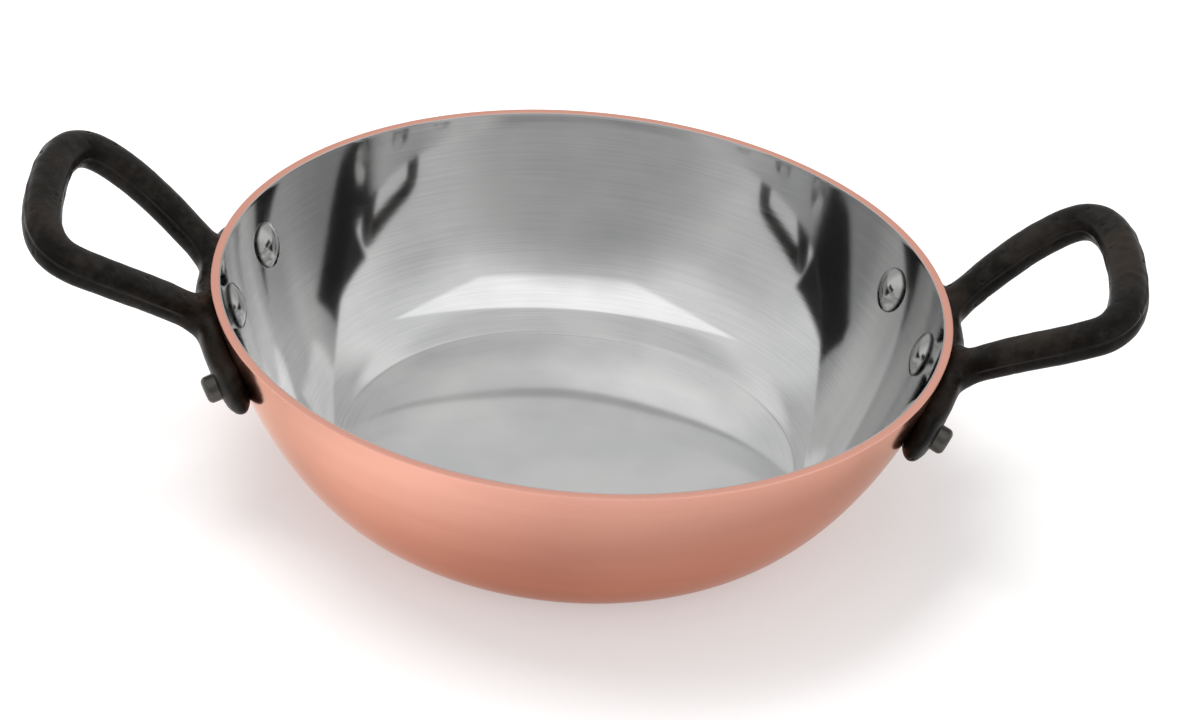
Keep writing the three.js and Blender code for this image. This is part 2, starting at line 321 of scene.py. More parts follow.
def eased_corner(before, corner, after, reach):
    """Quadratic Bezier that rounds a corner: it starts and ends a reach away from it."""
    t = np.linspace(0, 1, EDGE_POINTS)[:, None]
    start = corner + reach * unit(before - corner)
    end = corner + reach * unit(after - corner)
    return (1 - t) ** 2 * start + 2 * t * (1 - t) * corner + t**2 * end


def sheet_section(outer_depth, inner_depth, outer_round, inner_round):
    """Closed section of one layer: base, outer wall, level rim with eased edges, inner wall."""
    outside = wall_layer(outer_depth)[::-1]
    inside = wall_layer(inner_depth)
    outer_edge = eased_corner(outside[-2], outside[-1], inside[0], outer_round)
    inner_edge = eased_corner(outside[-1], inside[0], inside[1], inner_round)
    under = np.stack([np.linspace(0, BASE_RADIUS, BASE_RINGS, endpoint=False),
                      np.full(BASE_RINGS, outer_depth)], axis=1)
    floor = np.stack([np.linspace(inside[-1][0], 0, BASE_RINGS + 1)[1:],
                      np.full(BASE_RINGS, inner_depth)], axis=1)
    return np.concatenate([under, outside[:-1], outer_edge, inner_edge, inside[1:], floor])


def add_piece(name, points, quads, triangles, finish, slot, node):
    """Puts arrays of points and faces into a smooth mesh that stands for a CAD node."""
    mesh = bpy.data.meshes.new(name)
    corners = np.concatenate([np.ravel(quads), np.ravel(triangles)]).astype(np.int32)
    totals = np.concatenate([np.full(len(quads), 4), np.full(len(triangles), 3)])
    starts = np.concatenate([[0], np.cumsum(totals)[:-1]]).astype(np.int32)
    mesh.vertices.add(len(points))
    mesh.vertices.foreach_set("co", np.asarray(points, np.float32).ravel())
    mesh.loops.add(len(corners))
    mesh.loops.foreach_set("vertex_index", corners)
    mesh.polygons.add(len(totals))
    mesh.polygons.foreach_set("loop_start", starts)
    mesh.polygons.foreach_set("use_smooth", np.ones(len(totals), bool))
    mesh.update(calc_edges=True)
    mesh.validate()
    mesh.materials.append(finish)
    piece = bpy.data.objects.new(name, mesh)
    bpy.context.scene.collection.objects.link(piece)
    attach(piece, "root")
    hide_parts(node)


def capped(rings, ends):
    """A closed surface: quads between rings of equal count, and a fan to a point at each end."""
    rows, columns = rings.shape[:2]
    here = np.arange(columns)
    beside = (here + 1) % columns
    near = columns * np.arange(rows - 1)[:, None]
    far = near + columns
    quads = np.stack([near + here, near + beside, far + beside, far + here], axis=2)
    end = rows * columns
    last = end - columns
    triangles = np.concatenate([
        np.stack([np.full(columns, end), beside, here], axis=1),
        np.stack([last + here, last + beside, np.full(columns, end + 1)], axis=1),
    ])
    return np.concatenate([rings.reshape(-1, 3), ends]), quads.reshape(-1, 4), triangles


def turned(section, turns):
    """A section (r, h) turned about Z: x = r cos a, y = r sin a, z = h, closed by a point at each end."""
    angle = np.linspace(0, 2 * np.pi, turns, endpoint=False)
    radius = section[1:-1, :1]
    height = np.repeat(section[1:-1, 1:], turns, axis=1)
    rings = np.stack([radius * np.cos(angle), radius * np.sin(angle), height], axis=2)
    return capped(rings, [[0, 0, section[0, 1]], [0, 0, section[-1, 1]]])


def lofted(rings):
    """A surface through rings of equal count, closed by a point in the middle of each end ring."""
    return capped(rings, [rings[0].mean(axis=0), rings[-1].mean(axis=0)])


def superellipse(half_across, half_through, squareness, count):
    """Outline whose coordinates are half sizes times cos a and sin a, each to the power 2/squareness."""
    angle = np.linspace(0, 2 * np.pi, count, endpoint=False)
    power = 2 / squareness[:, None]
    across = half_across[:, None] * np.sign(np.cos(angle)) * np.abs(np.cos(angle)) ** power
    through = half_through[:, None] * np.sign(np.sin(angle)) * np.abs(np.sin(angle)) ** power
    return across, through


def loop_rise(reach_x):
    """Height and slope of the loop: a steady slope in the root, easing evenly towards the bar."""
    run = reach_x - RIM_RADIUS - LOOP_ROOT_REACH
    eased = np.maximum(run, 0)
    steep = math.tan(LOOP_ROOT_SLOPE)
    easing = (math.tan(LOOP_BAR_SLOPE) - steep) / (LOOP_BAR_REACH - LOOP_ROOT_REACH)
    height = DISH_HEIGHT - LOOP_ROOT_DROP + steep * run + easing * eased**2 / 2
    return height, steep + easing * eased


def loop_plan():
    """Plan of the loop: a lead-in, a bowed arm, a corner and half the bar, then the same mirrored."""
    root = np.array([RIM_RADIUS + LOOP_ROOT_REACH, LOOP_ROOT_SPREAD])
    flare = np.array([math.cos(LOOP_ROOT_FLARE), math.sin(LOOP_ROOT_FLARE)])
    shoulder = np.array([RIM_RADIUS + LOOP_SHOULDER_REACH, LOOP_SHOULDER_SPREAD])
    bar = np.array([RIM_RADIUS + LOOP_BAR_REACH, 0.0])
    out = np.array([1.0, 0.0])
    arm = [root, root + flare * LOOP_ARM_PULL, shoulder - out * LOOP_SHOULDER_ARM_PULL, shoulder]
    corner = [
        shoulder,
        shoulder + out * LOOP_SHOULDER_BAR_PULL,
        bar + np.array([0.0, LOOP_BAR_PULL]),
        bar,
    ]
    half = np.concatenate([
        [root - flare * LOOP_ROOT_DEPTH],
        cubic(arm, np.linspace(0, 1, ARM_POINTS)),
        cubic(corner, np.linspace(0, 1, CORNER_POINTS))[1:],
    ])
    return np.concatenate([half, half[-2::-1] * [1, -1]])


def loop_frames():
    """Path of the loop with the unit directions to its outer side and to its upper face."""
    plan = loop_plan()
    height, slope = loop_rise(plan[:, 0])
    path = np.column_stack([plan, height])
    along = unit(np.gradient(path, axis=0))
    through = unit(np.stack([-slope, np.zeros_like(slope), np.ones_like(slope)], axis=1))
    side = unit(np.cross(through, along))
    return path, side, unit(np.cross(along, side))


def root_fillet(distance, radius):
    """Width that a fillet of radius R adds at a distance s from the plate: R - sqrt(R^2 - (R - s)^2)."""
    away = radius - np.clip(distance, 0, radius)
    return radius - np.sqrt(radius**2 - away**2)


def loop_surface():
    """A squarish section carried along the loop, which spreads in a fillet on both sides at its roots."""
    path, side, up = loop_frames()
    reach = path[:, 0] - RIM_RADIUS
    outward = smooth_step(reach, LOOP_ROOT_REACH, LOOP_BAR_REACH)
    near = 1 - smooth_step(reach, 0, ROOT_FLARE_LENGTH)
    width = ARM_WIDTH + (BAR_WIDTH - ARM_WIDTH) * outward
    thickness = ARM_THICKNESS + (BAR_THICKNESS - ARM_THICKNESS) * outward
    width += (ROOT_WIDTH - width) * near
    thickness += (ROOT_THICKNESS - thickness) * near
    across, deep = superellipse(
        width / 2 + CASTING_GROWTH, thickness / 2 + CASTING_GROWTH,
        np.full(len(path), BAR_SQUARENESS), BAR_SIDES,
    )
    share = across / (width[:, None] / 2)
    outer = root_fillet(reach - PLATE_FACE_REACH, OUTER_FILLET)
    inner = root_fillet(reach - PLATE_FACE_REACH, INNER_FILLET)
    across = across + np.maximum(share, 0) * outer[:, None] + np.minimum(share, 0) * inner[:, None]
    return lofted(path[:, None] + across[..., None] * side[:, None] + deep[..., None] * up[:, None])


def nearest_of(spots, points):
    """For each point, the index of the spot at the least distance from it."""
    distance = np.full(len(points), np.inf)
    nearest = np.zeros(len(points), int)
    for index, spot in enumerate(spots):
        gap = np.sum((points - spot) ** 2, axis=1)
        closer = gap < distance
        distance[closer] = gap[closer]
        nearest[closer] = index
    return nearest


def seam_ridge(points):
    """The casting seam: a bell less a lower bell under it, on the loop's sides, wavering in height."""
    path, side, up = loop_frames()
    nearest = nearest_of(path, points)
    offset = points - path[nearest]
    high = np.sum(offset * up[nearest], axis=1) - SEAM_LEVEL
    wide = np.abs(np.sum(offset * side[nearest], axis=1))
    ridge = np.exp(-((high / SEAM_WIDTH) ** 2))
    groove = np.exp(-(((high + GROOVE_DROP * SEAM_WIDTH) / SEAM_WIDTH) ** 2))
    free = smooth_step(points[:, 0] - RIM_RADIUS, PLATE_FACE_REACH, PLATE_FACE_REACH + SEAM_FADE)
    on_side = smooth_step(wide / (ARM_WIDTH / 2), *SEAM_SIDES)
    first, second = SEAM_WAVES
    uneven = 1 - SEAM_WAVE + SEAM_WAVE * np.sin(points @ first) * np.sin(points @ second)
    return (ridge - GROOVE_SHARE * groove) * free * uneven * on_side


def wall_at_drop(drop):
    """Point and outward normal of the wall's section at a drop below the rim."""
    t = np.linspace(0, 1, RIVET_PLACE_POINTS)
    heights = cubic(WALL, t)[:, 1]
    share = np.interp(drop - DISH_HEIGHT, -heights, t)
    return cubic(WALL, [share])[0], wall_normal([share])[0]


RIVET_POINT, RIVET_NORMAL = wall_at_drop(RIVET_DROP)
RIVET_STEP = RIVET_SPACING / RIVET_POINT[0]
RIVET_TILT = math.atan2(RIVET_NORMAL[1], RIVET_NORMAL[0])


def plate_surface():
    """A rounded flat bar bent round the wall, whose section shrinks to a tongue at each end.

    Its top edge is raised over the middle by a smooth step, and inside each arm by a bell.
    """
    half_length = RIVET_SPACING + PLATE_TONGUE_LENGTH
    arc = half_length * np.sin(np.linspace(-np.pi / 2, np.pi / 2, PLATE_POINTS))
    past = np.maximum(np.abs(arc) - half_length + PLATE_TONGUE_ROUND, 0) / PLATE_TONGUE_ROUND
    size = np.maximum(np.sqrt(np.maximum(1 - past**2, 0)), TONGUE_TIP_SHARE)
    back = -PLATE_BACK_DEPTH + (PLATE_TONGUE_LIFT + PLATE_BACK_DEPTH) * past
    middle = (PLATE_THICKNESS + back) / 2
    squareness = PLATE_SQUARENESS + (TONGUE_SQUARENESS - PLATE_SQUARENESS) * past
    out, up = superellipse(
        (PLATE_THICKNESS - back) / 2 * size, PLATE_HEIGHT / 2 * size, squareness, BAR_SIDES,
    )
    out = middle[:, None] + out[:, ::-1]
    up = up[:, ::-1]
    growth = PLATE_TOP_GROWTH * (1 - smooth_step(np.abs(arc), *PLATE_TOP_SPREAD))
    growth += WEB_HEIGHT * np.exp(-(((np.abs(arc) - WEB_PLACE) / WEB_WIDTH) ** 2))
    up = up + growth[:, None] * np.maximum(up, 0) / (PLATE_HEIGHT / 2)
    radius = RIVET_POINT[0] + RIVET_NORMAL[0] * out - RIVET_NORMAL[1] * up
    height = RIVET_POINT[1] + RIVET_NORMAL[1] * out + RIVET_NORMAL[0] * up
    azimuth = (arc / RIVET_POINT[0])[:, None]
    return lofted(np.stack([radius * np.cos(azimuth), radius * np.sin(azimuth), height], axis=2))


def fused(surfaces, voxel):
    """Closed surfaces joined into one skin of even quads, as points, quads and edges."""
    points = np.concatenate([surface[0] for surface in surfaces])
    starts = np.cumsum([0] + [len(surface[0]) for surface in surfaces])
    quads = np.concatenate([surface[1] + start for surface, start in zip(surfaces, starts)])
    triangles = np.concatenate([surface[2] + start for surface, start in zip(surfaces, starts)])
    rough = bpy.data.meshes.new("casting_core")
    rough.from_pydata(points.tolist(), [], quads.tolist() + triangles.tolist())
    core = bpy.data.objects.new("casting_core", rough)
    bpy.context.scene.collection.objects.link(core)
    remesh = core.modifiers.new("skin", "REMESH")
    remesh.mode = "VOXEL"
    remesh.voxel_size = voxel
    skin = bpy.data.meshes.new_from_object(core.evaluated_get(bpy.context.evaluated_depsgraph_get()))
    bpy.data.objects.remove(core)
    skin_points = np.empty(len(skin.vertices) * 3)
    skin.vertices.foreach_get("co", skin_points)
    skin_edges = np.empty(len(skin.edges) * 2, int)
    skin.edges.foreach_get("vertices", skin_edges)
    skin_quads = np.empty(len(skin.loops), int)
    skin.loops.foreach_get("vertex_index", skin_quads)
    return skin_points.reshape(-1, 3), skin_quads.reshape(-1, 4), skin_edges.reshape(-1, 2)


def vertex_normals(points, quads):
    """Unit sum, at each point, of the crossed diagonals of the quads round it."""
    corners = points[quads]
    face = np.cross(corners[:, 2] - corners[:, 0], corners[:, 3] - corners[:, 1])
    total = [
        np.bincount(quads.ravel(), np.repeat(face[:, axis], 4), len(points)) for axis in range(3)
    ]
    return unit(np.stack(total, axis=1) + NORMAL_ROOM)


def neighbour_pull(points, edges):
    """From each point to the mean of its neighbours along the edges."""
    count = len(points)
    both = np.concatenate([edges, edges[:, ::-1]])
    links = np.bincount(both[:, 0], minlength=count)[:, None]
    total = np.stack([
        np.bincount(both[:, 0], points[both[:, 1], axis], count) for axis in range(3)
    ], axis=1)
    return total / links - points


def filleted(points, quads, edges):
    """Fills the hollows by the plate: there, each point moves out towards its neighbours' mean.

    The roots, and at last the whole skin, are smoothed by moves to that mean in any direction.
    """
    radius = np.hypot(points[:, 0], points[:, 1]) - RIM_RADIUS
    near_plate = 1 - smooth_step(radius, *FILLET_REACH)
    root = near_plate * smooth_step(radius, *ROOT_REACH)
    for _ in range(FILLET_ROUNDS):
        pull = neighbour_pull(points, edges)
        normal = vertex_normals(points, quads)
        outward = np.sum(pull * normal, axis=1) > 0
        points = points + pull * (PULL_SHARE * near_plate * outward)[:, None]
    for _ in range(ROOT_ROUNDS):
        points = points + neighbour_pull(points, edges) * (PULL_SHARE * root)[:, None]
    for _ in range(SKIN_ROUNDS):
        points = points + PULL_SHARE * neighbour_pull(points, edges)
    return points


def wall_depth(points):
    """Distance of each point outside the dish's wall, with the outward direction there."""
    t = np.linspace(0, 1, WALL_TRIM_POINTS)
    wall = cubic(WALL, t)
    radius = np.hypot(points[:, 0], points[:, 1])
    flat = np.stack([radius, points[:, 2]], axis=1)
    nearest = nearest_of(wall, flat)
    outward = wall_normal(t)[nearest]
    depth = np.sum((flat - wall[nearest]) * outward, axis=1)
    across = points[:, :2] / radius[:, None]
    return depth, np.column_stack([across * outward[:, :1], outward[:, 1]])


def trimmed_to_wall(points):
    """Points that reach into the wall, laid back just off its outer face."""
    depth, outward = wall_depth(points)
    return points + outward * np.maximum(WALL_GAP - depth, 0)[:, None]


def lumps(points, rng):
    """Uneven casting skin: a sum of sine waves in random directions, scaled to about -1 to 1."""
    total = np.zeros(len(points))
    for _ in range(LUMP_WAVES):
        wavelength = rng.uniform(*LUMP_LENGTHS)
        wave = unit(rng.normal(size=3)) * 2 * np.pi / wavelength
        total += np.sin(points @ wave + rng.uniform(0, 2 * np.pi))
    return total / np.sqrt(2 * LUMP_WAVES)


def pitting(points, rng):
    """Depth share of small round sand holes: a bell of random width round points picked at random."""
    depth = np.zeros(len(points))
    for centre in points[rng.integers(0, len(points), PIT_COUNT)]:
        width = rng.uniform(*PIT_WIDTHS)
        distance = np.sum((points - centre) ** 2, axis=1)
        depth = np.maximum(depth, rng.uniform(*PIT_SHARES) * np.exp(-distance / width**2))
    return depth


def add_handle(side, skin, seed, turn, finish):
    """One handle: the shared skin with its own lumps and pits, trimmed to the wall and placed."""
    points, quads = skin
    rng = np.random.default_rng(seed)
    relief = SEAM_HEIGHT * seam_ridge(points) + LUMP_HEIGHT * lumps(points, rng)
    relief -= PIT_DEPTH * pitting(points, rng)
    points = trimmed_to_wall(points + vertex_normals(points, quads) * relief[:, None])
    triangles = np.empty((0, 3), int)
    placed = points * [turn, turn, 1]
    add_piece(f"cast_handle_{side}", placed, quads, triangles, finish, "cast_iron", f"handle_{side}")


def rivet_section():
    """Half section of a rivet: low dome, rolled edge, shank, and a tail with a rounded edge."""
    head_base = -(SHEET_THICKNESS - RIVET_SINK)
    rim_height = head_base - RIVET_SINK - RIVET_HEAD_EDGE
    crown = -(SHEET_THICKNESS + RIVET_HEAD_HEIGHT)
    rise = rim_height - crown
    dome_reach = RIVET_HEAD_RADIUS - RIVET_HEAD_EDGE / 2
    dome_radius = (dome_reach**2 + rise**2) / (2 * rise)
    angle = np.linspace(0, math.asin(dome_reach / dome_radius), RIVET_DOME_POINTS)
    dome = np.stack([dome_radius * np.sin(angle), crown + dome_radius * (1 - np.cos(angle))], axis=1)
    edge = eased_corner(
        dome[-2], np.array([RIVET_HEAD_RADIUS, rim_height + RIVET_HEAD_EDGE / 4]),
        np.array([RIVET_HEAD_RADIUS, head_base]), RIVET_HEAD_EDGE / 2,
    )
    tail = PLATE_THICKNESS + RIVET_TAIL_LENGTH
    turn = np.linspace(0, np.pi / 2, RIVET_TAIL_POINTS)
    end = np.stack([
        RIVET_SHANK_RADIUS - RIVET_TAIL_ROUND * (1 - np.cos(turn)),
        tail - RIVET_TAIL_ROUND * (1 - np.sin(turn)),
    ], axis=1)
    head_foot = [[RIVET_HEAD_RADIUS, head_base], [RIVET_SHANK_RADIUS, head_base]]
    return np.concatenate([dome[:-1], edge, head_foot, end, [[0, tail]]])


def add_rivet(name, azimuth, finish):
    """A rivet turned about its own axis, tipped square to the wall and carried round to its azimuth."""
    points, quads, triangles = turned(rivet_section(), RIVET_TURNS)
    tip = Matrix.Rotation(math.pi / 2 - RIVET_TILT, 3, "Y")
    points = points @ np.array(tip).T + [RIVET_POINT[0], 0, RIVET_POINT[1]]
    points = points @ np.array(Matrix.Rotation(azimuth, 3, "Z")).T
    add_piece("set_" + name, points, quads, triangles, finish, "rivet", name)


class Value:
    """A shader number that adds a Math node for each sum, difference, product or quotient."""

    def __init__(self, finish, socket):
        self.finish = finish
        self.socket = socket

    def __add__(self, other):
        return self.finish.math("ADD", self, other)

    def __radd__(self, other):
        return self.finish.math("ADD", other, self)

    def __sub__(self, other):
        return self.finish.math("SUBTRACT", self, other)

    def __rsub__(self, other):
        return self.finish.math("SUBTRACT", other, self)

    def __mul__(self, other):
        return self.finish.math("MULTIPLY", self, other)

    def __rmul__(self, other):
        return self.finish.math("MULTIPLY", other, self)

    def __truediv__(self, other):
        return self.finish.math("DIVIDE", self, other)


class Finish:
    """A node tree that is built by expressions."""

    def __init__(self, tree):
        self.tree = tree
        self.tree.nodes.clear()

    def node(self, kind, settings, inputs, output=0):
        """Adds a node of one type: its settings first, then the values or links of its sockets."""
        node = self.tree.nodes.new(kind)
        for key, value in settings.items():
            setattr(node, key, value)
        for key, value in inputs.items():
            if isinstance(value, Value):
                self.tree.links.new(value.socket, node.inputs[key])
            else:
                node.inputs[key].default_value = value
        return Value(self, node.outputs[output]) if node.outputs else None

    def math(self, operation, *values, clamp=False):
        settings = {"operation": operation, "use_clamp": clamp}
        return self.node("ShaderNodeMath", settings, dict(enumerate(values)))

    def vector(self, x, y, z):
        return self.node("ShaderNodeCombineXYZ", {}, {0: x, 1: y, 2: z})

    def split(self, vector):
        """The three coordinates of a vector."""
        axes = self.node("ShaderNodeSeparateXYZ", {}, {0: vector})
        return [Value(self, socket) for socket in axes.socket.node.outputs]

    def place(self):
        """The shaded point in the object's own frame, as a vector and as its coordinates."""
        point = self.node("ShaderNodeTexCoord", {}, {}, "Object")
        return point, self.split(point)

    def ray(self, fact):
        """A fact about the ray, such as Is Glossy Ray or Ray Depth."""
        return self.node("ShaderNodeLightPath", {}, {}, fact)

    def noise(self, vector, scale, detail, roughness):
        inputs = {"Vector": vector, "Scale": scale, "Detail": detail, "Roughness": roughness}
        return self.node("ShaderNodeTexNoise", {}, inputs)

    def blend(self, factor, first, second):
        """Colours mixed by a factor."""
        settings = {"data_type": "RGBA"}
        return self.node("ShaderNodeMix", settings, {"Factor": factor, 6: first, 7: second}, 2)

    def step(self, value, low, high):
        """Smooth step from 0 at low to 1 at high."""
        settings = {"interpolation_type": "SMOOTHSTEP"}
        inputs = {"Value": value, "From Min": low, "From Max": high}
        return self.node("ShaderNodeMapRange", settings, inputs)

    def soft_edge(self, value, place, softness):
        """Smooth step centred on a place."""
        return self.step(value, place - softness, place + softness)

    def between(self, value, rise, fall):
        """1 between two soft edges, and 0 before the first and after the second."""
        return self.step(value, *rise) * (1 - self.step(value, *fall))

    def toward(self, start, end, share):
        """The start value moved by a share of the way to the end value."""
        return start + (end - start) * share

    def varied(self, base, *noises):
        """A value moved up and down by noises, each given with its span."""
        for noise, span in noises:
            base = base + (noise - 0.5) * span
        return base

    def bump(self, height):
        """Normal that a height in metres gives."""
        return self.node("ShaderNodeBump", {}, {"Height": height, "Distance": 1.0, "Strength": 1.0})

    def surface(self, inputs):
        shader = self.node("ShaderNodeBsdfPrincipled", {}, inputs)
        self.node("ShaderNodeOutputMaterial", {}, {"Surface": shader})


def new_material(name):
    material = bpy.data.materials.new(name)
    material.use_nodes = True
    return material, Finish(material.node_tree)


def rgb(red, green, blue):
    return (red, green, blue, 1.0)


WHITE = rgb(1, 1, 1)

# Spun copper: darker and lighter colours at the wall's foot and top, its rim, and its ring marks. The
# foot's deeper, redder colours are painted shade, for the floor's shadow and the light bounced between
# floor and copper
COPPER_FOOT_PAINTED_SHADE = (rgb(0.605, 0.226, 0.147), rgb(0.665, 0.262, 0.173))
COPPER_TOP = (rgb(0.645, 0.322, 0.245), rgb(0.71, 0.372, 0.288))
COPPER_RIM = rgb(0.88, 0.46, 0.365)
COPPER_EDGE_TINT = rgb(0.93, 0.78, 0.7)
COPPER_CLOUD_SHARE = 0.6
COPPER_BAND_SHARE = 0.25
COPPER_HAIR_SHARE = 0.15
COPPER_TONES = (0.3, 0.68)
COPPER_PAINTED_SHADE_FADE_START = -0.2 * DISH_HEIGHT
COPPER_ROUGHNESS = 0.16
COPPER_RIM_ROUGHNESS = 0.4
COPPER_HAIR_SPAN = 0.12
COPPER_CLOUD_SPAN = 0.1
COPPER_HAIR_HEIGHT = 1.1e-6
COPPER_BAND_HEIGHT = 3e-6

# Polished lining: darker and lighter colours of its floor and wall, and its turning marks. The same steel
# is lighter on the floor and darker on the wall: painted light on the floor and painted shade on the wall
LINING_FLOOR_PAINTED_LIGHT = (rgb(0.71, 0.715, 0.715), rgb(0.79, 0.79, 0.785))
LINING_WALL_PAINTED_SHADE = (rgb(0.52, 0.525, 0.525), rgb(0.64, 0.64, 0.635))
LINING_TONES = (0.35, 0.65)
LINING_PAINTED_SHADE_START = (0.044, 0.062)
LINING_MARKS_START = (0.04, 0.07)
LINING_MARKS_ON_FLOOR = 0.1
LINING_HAIR_SHARE = 0.3
LINING_ROUGHNESS = 0.07
LINING_HAZE_SPAN = 0.05
LINING_HAIR_SPAN = 0.04
LINING_HAIR_HEIGHT = 1.4e-6
LINING_MARK_HEIGHT = 1.9e-6

# Rivet steel: the burnished head, a dark ring under its edge that is painted shade where the head meets
# the lining, and the dull tail
RIVET_HEAD = (rgb(0.40, 0.40, 0.395), rgb(0.46, 0.46, 0.45))
RIVET_TAIL = (rgb(0.05, 0.048, 0.044), rgb(0.13, 0.125, 0.115))
RIVET_PAINTED_SHADE = rgb(0.035, 0.035, 0.035)
RIVET_PAINTED_SHADE_TOP = (0.0004, 0.0011)
RIVET_OUTSIDE_START = 0.002
RIVET_HEAD_ROUGHNESS = 0.13
RIVET_TAIL_ROUGHNESS = 0.43
RIVET_GRAIN_SPAN = 0.08
RIVET_GRAIN_HEIGHT = 1e-6
RIVET_HEAD_DENTS = 5e-6
RIVET_TAIL_DENTS = 1.6e-5

# Cast iron: black, from dark to rubbed, brown in patches and rusty in spots, with a sandy skin
IRON_BLACK = (rgb(0.0032, 0.0026, 0.0022), rgb(0.0182, 0.0152, 0.0126))
IRON_BROWN = rgb(0.0205, 0.0135, 0.0085)
IRON_RUST = rgb(0.045, 0.02, 0.011)
IRON_PATCH_SHARE = 0.65
IRON_WORN_TONES = (0.4, 0.66)
IRON_BROWN_TONES = (0.48, 0.7)
IRON_RUST_TONES = (0.64, 0.74)
IRON_BROWN_SHARE = 0.6
IRON_RUST_SHARE = 0.7
IRON_GLOSS = 0.1
IRON_ROUGHNESS = 0.4
IRON_PATCH_SPAN = 0.3
IRON_SAND_SPAN = 0.24
IRON_SAND_HEIGHT = 4e-5
IRON_GRAIN_HEIGHT = 9e-5


def ring_coordinates(finish, around, across):
    """Coordinates for marks that run round the dish, stretched along the turn, and the radius."""
    _, (x, y, z) = finish.place()
    radius = finish.math("SQRT", x * x + y * y) + AXIS_ROOM
    section = (radius + z) * across
    return finish.vector(x / radius * around, y / radius * around, section), radius


def satin_copper():
    """Spun copper, brushed round the dish: fine ring marks, slow clouds of deeper red, painted shade that
    darkens and reddens it towards the foot, a ground rim.
    """
    material, finish = new_material("satin copper")
    place, (_, _, z) = finish.place()
    fine, _ = ring_coordinates(finish, around=2.2, across=900)
    broad, _ = ring_coordinates(finish, around=1.4, across=130)
    hair = finish.noise(fine, scale=1.0, detail=4.0, roughness=0.62)
    bands = finish.noise(broad, scale=1.0, detail=3.0, roughness=0.55)
    clouds = finish.noise(place, scale=16.0, detail=2.0, roughness=0.5)
    mottle = clouds * COPPER_CLOUD_SHARE + bands * COPPER_BAND_SHARE + hair * COPPER_HAIR_SHARE
    tone = finish.step(mottle, *COPPER_TONES)
    foot = finish.blend(tone, *COPPER_FOOT_PAINTED_SHADE)
    top = finish.blend(tone, *COPPER_TOP)
    # Painted shade: the wall's colour darkens and reddens from the top down to the foot, for the floor's
    # shadow and bounced light
    wall = finish.blend(finish.step(z, COPPER_PAINTED_SHADE_FADE_START, DISH_HEIGHT), foot, top)
    rim = finish.step(z, DISH_HEIGHT - RIM_EDGE_ROUND, DISH_HEIGHT - RIM_EDGE_ROUND / 4)
    rough = finish.toward(COPPER_ROUGHNESS, COPPER_RIM_ROUGHNESS, rim)
    finish.surface({
        "Base Color": finish.blend(rim, wall, COPPER_RIM),
        "Metallic": 1.0,
        "Specular Tint": COPPER_EDGE_TINT,
        "Roughness": finish.varied(rough, (hair, COPPER_HAIR_SPAN), (clouds, COPPER_CLOUD_SPAN)),
        "Normal": finish.bump(hair * COPPER_HAIR_HEIGHT + bands * COPPER_BAND_HEIGHT),
    })
    return material


def polished_lining():
    """Polished steel lining: mirror-like, with turning marks that ruffle its reflections."""
    material, finish = new_material("polished lining")
    place, _ = finish.place()
    fine, radius = ring_coordinates(finish, around=3.0, across=1500)
    coarse, _ = ring_coordinates(finish, around=2.0, across=420)
    hair = finish.noise(fine, scale=1.0, detail=3.0, roughness=0.6)
    marks = finish.noise(coarse, scale=1.0, detail=2.0, roughness=0.5)
    haze = finish.noise(place, scale=22.0, detail=3.0, roughness=0.55)
    marked = finish.step(radius, *LINING_MARKS_START)
    tone = finish.step(finish.toward(haze, hair, marked * LINING_HAIR_SHARE), *LINING_TONES)
    # Painted light and shade: one steel made lighter on the floor and darker on the wall, blended by
    # radius
    floor = finish.blend(tone, *LINING_FLOOR_PAINTED_LIGHT)
    wall = finish.blend(tone, *LINING_WALL_PAINTED_SHADE)
    rough = finish.varied(LINING_ROUGHNESS, (haze, LINING_HAZE_SPAN), (hair, LINING_HAIR_SPAN))
    height = hair * LINING_HAIR_HEIGHT + marks * LINING_MARK_HEIGHT
    finish.surface({
        "Base Color": finish.blend(finish.step(radius, *LINING_PAINTED_SHADE_START), floor, wall),
        "Metallic": 1.0,
        "Roughness": rough,
        "Normal": finish.bump(height * finish.toward(LINING_MARKS_ON_FLOOR, 1.0, marked)),
    })
    return material


def rivet_steel():
    """Rivet steel: burnished where the head shows inside, with a ring of painted shade round the head's
    foot, dull and dark at the tail outside.
    """
    material, finish = new_material("rivet steel")
    place, (x, y, z) = finish.place()
    radius = finish.math("SQRT", x * x + y * y)
    outside = finish.step(radius, RIM_RADIUS - RIVET_OUTSIDE_START, RIM_RADIUS)
    # Painted shade: the head turns near black within about a millimetre of the lining, for the shadow
    # where head and lining meet
    depth = (RIVET_POINT[0] - radius) * RIVET_NORMAL[0] + (RIVET_POINT[1] - z) * RIVET_NORMAL[1]
    painted_shade_ring = 1 - finish.step(depth - SHEET_THICKNESS, *RIVET_PAINTED_SHADE_TOP)
    grain = finish.noise(place, scale=900.0, detail=3.0, roughness=0.6)
    dents = finish.noise(place, scale=260.0, detail=2.0, roughness=0.5)
    head = finish.blend(painted_shade_ring, finish.blend(grain, *RIVET_HEAD), RIVET_PAINTED_SHADE)
    tail = finish.blend(dents, *RIVET_TAIL)
    rough = finish.toward(RIVET_HEAD_ROUGHNESS, RIVET_TAIL_ROUGHNESS, outside)
    dent_height = finish.toward(RIVET_HEAD_DENTS, RIVET_TAIL_DENTS, outside)
    finish.surface({
        "Base Color": finish.blend(outside, head, tail),
        "Metallic": 1.0,
        "Roughness": finish.varied(rough, (grain, RIVET_GRAIN_SPAN)),
        "Normal": finish.bump(dents * dent_height + grain * RIVET_GRAIN_HEIGHT),
    })
    return material


